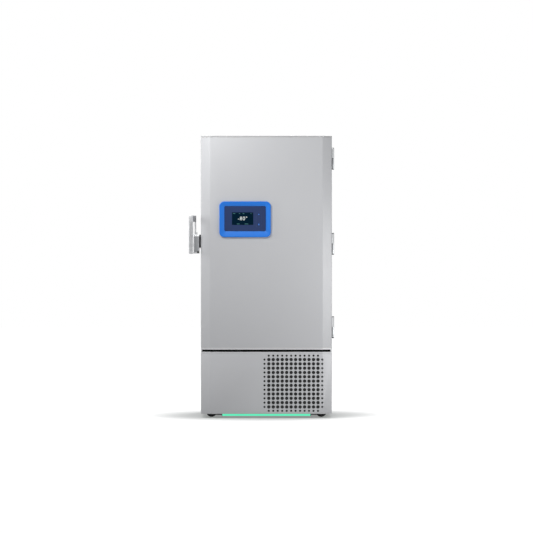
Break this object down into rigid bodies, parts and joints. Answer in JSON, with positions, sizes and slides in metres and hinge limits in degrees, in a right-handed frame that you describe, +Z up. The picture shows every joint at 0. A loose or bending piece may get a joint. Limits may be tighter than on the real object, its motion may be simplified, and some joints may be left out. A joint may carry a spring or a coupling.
{
  "type": "ultra low temperature freezer",
  "caption": "Upright laboratory freezer with a bevelled insulated door, side latch handle, dished touch display, shelves behind inner doors and a perforated cover over its machinery.",
  "frame": {"origin": "on the floor under the middle of the overall box, with everything at rest", "axes": "+Z up, -Y towards the user at the front, +X to the right seen from the front"},
  "size_m": [1.021, 0.972, 1.981],
  "materials": {
    "cabinet_paint": "satin",
    "door_paint": "satin",
    "foam": "matte",
    "liner_steel": "satin",
    "copper": "satin",
    "white_plastic": "matte",
    "grey_plastic": "matte",
    "black_plastic": "matte",
    "blue_plastic": "satin",
    "screen": "gloss",
    "seal_rubber": "matte",
    "cast_metal": "satin",
    "hinge_steel": "satin",
    "wheel_rubber": "matte",
    "zinc_steel": "satin",
    "light_lens": "satin",
    "black_enamel": "gloss",
    "fin_metal": "satin",
    "filter_foam": "matte"
  },
  "bodies": {
    "cabinet": {"cabinet_shell": "cabinet_paint", "cabinet_back_panel": "cabinet_paint", "evaporator_coil": "copper", "cabinet_insulation": "foam", "inner_liner": "liner_steel", "throat_collar": "white_plastic", "access_port": "white_plastic", "wall_spacers": "grey_plastic", "inner_door_frame": "white_plastic", "inner_door_seals": "seal_rubber", "shelf_pilasters": "liner_steel", "shelf_1": "liner_steel", "shelf_2": "liner_steel", "shelf_3": "liner_steel", "cabinet_hinge_leaves": "hinge_steel", "hinge_pins": "zinc_steel", "latch_keeper": "zinc_steel", "light_bar_housing": "black_plastic", "light_bar_lens": "light_lens", "base_frame": "zinc_steel", "condenser_coil": "fin_metal", "fan_shroud": "zinc_steel", "fan_motor": "black_enamel", "compressor_high_stage": "black_enamel", "compressor_low_stage": "black_enamel", "compressor_mounts": "seal_rubber", "heat_exchanger": "zinc_steel", "refrigerant_lines": "copper", "control_box": "grey_plastic", "rear_service_panel": "cabinet_paint", "power_inlet": "black_plastic", "caster_plates": "zinc_steel"},
    "door": {"door_skin": "door_paint", "door_insulation": "foam", "door_inner_panel": "white_plastic", "door_gasket": "seal_rubber", "display_bezel": "blue_plastic", "display_glass": "screen", "display_module": "black_plastic", "door_hinge_leaves": "hinge_steel", "latch_housing": "cast_metal"},
    "handle": {"handle_lever": "cast_metal", "latch_hook": "zinc_steel"},
    "lock": {"lock_cylinder": "black_enamel"},
    "lower_cover": {"lower_cover": "door_paint", "air_filter": "filter_foam"},
    "fan": {"condenser_fan": "grey_plastic"},
    "mains_switch": {"power_switch": "black_plastic"},
    "inner_door_1": {"inner_door_1": "white_plastic"},
    "inner_door_2": {"inner_door_2": "white_plastic"},
    "inner_door_3": {"inner_door_3": "white_plastic"},
    "inner_door_4": {"inner_door_4": "white_plastic"},
    "fork_front_left": {"caster_fork_front_left": "zinc_steel"},
    "wheel_front_left": {"caster_wheel_front_left": "wheel_rubber"},
    "fork_front_right": {"caster_fork_front_right": "zinc_steel"},
    "wheel_front_right": {"caster_wheel_front_right": "wheel_rubber"},
    "fork_rear_left": {"caster_fork_rear_left": "zinc_steel"},
    "wheel_rear_left": {"caster_wheel_rear_left": "wheel_rubber"},
    "fork_rear_right": {"caster_fork_rear_right": "zinc_steel"},
    "wheel_rear_right": {"caster_wheel_rear_right": "wheel_rubber"}
  },
  "joints": [
    {"name": "door_hinge", "type": "hinge", "parent": "cabinet", "child": "door", "pos_m": [0.502, -0.326, 1.2275], "axis": [0, 0, 1], "range_deg": [0, 120]},
    {"name": "handle_pivot", "type": "hinge", "parent": "door", "child": "handle", "pos_m": [-0.4625, -0.414, 1.284], "axis": [0, 0, 1], "range_deg": [-7, 60]},
    {"name": "lock_turn", "type": "hinge", "parent": "door", "child": "lock", "pos_m": [-0.4475, -0.434, 1.165], "axis": [0, 1, 0], "range_deg": [0, 90]},
    {"name": "lower_cover_hinge", "type": "hinge", "parent": "cabinet", "child": "lower_cover", "pos_m": [0.4805, -0.346, 0.24775], "axis": [0, 0, 1], "range_deg": [0, 100]},
    {"name": "fan_spin", "type": "hinge", "parent": "cabinet", "child": "fan", "pos_m": [0.2425, -0.233, 0.272], "axis": [0, 1, 0], "continuous": true},
    {"name": "switch_rock", "type": "hinge", "parent": "cabinet", "child": "mains_switch", "pos_m": [-0.2735, 0.458, 0.19], "axis": [1, 0, 0], "range_deg": [0, 20]},
    {"name": "inner_door_1_hinge", "type": "hinge", "parent": "cabinet", "child": "inner_door_1", "pos_m": [0.3905, -0.28, 0.74113], "axis": [0, 0, 1], "range_deg": [0, 90]},
    {"name": "inner_door_2_hinge", "type": "hinge", "parent": "cabinet", "child": "inner_door_2", "pos_m": [0.3905, -0.28, 1.06737], "axis": [0, 0, 1], "range_deg": [0, 90]},
    {"name": "inner_door_3_hinge", "type": "hinge", "parent": "cabinet", "child": "inner_door_3", "pos_m": [0.3905, -0.28, 1.39362], "axis": [0, 0, 1], "range_deg": [0, 90]},
    {"name": "inner_door_4_hinge", "type": "hinge", "parent": "cabinet", "child": "inner_door_4", "pos_m": [0.3905, -0.28, 1.71988], "axis": [0, 0, 1], "range_deg": [0, 90]},
    {"name": "swivel_front_left", "type": "hinge", "parent": "cabinet", "child": "fork_front_left", "pos_m": [-0.3255, -0.24, 0.088], "axis": [0, 0, 1], "continuous": true},
    {"name": "roll_front_left", "type": "hinge", "parent": "fork_front_left", "child": "wheel_front_left", "pos_m": [-0.3555, -0.24, 0.038], "axis": [0, 1, 0], "continuous": true},
    {"name": "swivel_front_right", "type": "hinge", "parent": "cabinet", "child": "fork_front_right", "pos_m": [0.3905, -0.24, 0.088], "axis": [0, 0, 1], "continuous": true},
    {"name": "roll_front_right", "type": "hinge", "parent": "fork_front_right", "child": "wheel_front_right", "pos_m": [0.4205, -0.24, 0.038], "axis": [0, 1, 0], "continuous": true},
    {"name": "swivel_rear_left", "type": "hinge", "parent": "cabinet", "child": "fork_rear_left", "pos_m": [-0.3255, 0.384, 0.088], "axis": [0, 0, 1], "continuous": true},
    {"name": "roll_rear_left", "type": "hinge", "parent": "fork_rear_left", "child": "wheel_rear_left", "pos_m": [-0.3555, 0.384, 0.038], "axis": [0, 1, 0], "continuous": true},
    {"name": "swivel_rear_right", "type": "hinge", "parent": "cabinet", "child": "fork_rear_right", "pos_m": [0.3905, 0.384, 0.088], "axis": [0, 0, 1], "continuous": true},
    {"name": "roll_rear_right", "type": "hinge", "parent": "fork_rear_right", "child": "wheel_rear_right", "pos_m": [0.4205, 0.384, 0.038], "axis": [0, 1, 0], "continuous": true}
  ],
  "couplings": [
    {"joint": "inner_door_1_hinge", "follows": "door_hinge", "ratio": 0.75},
    {"joint": "inner_door_2_hinge", "follows": "door_hinge", "ratio": 0.75},
    {"joint": "inner_door_3_hinge", "follows": "door_hinge", "ratio": 0.75},
    {"joint": "inner_door_4_hinge", "follows": "door_hinge", "ratio": 0.75}
  ]
}
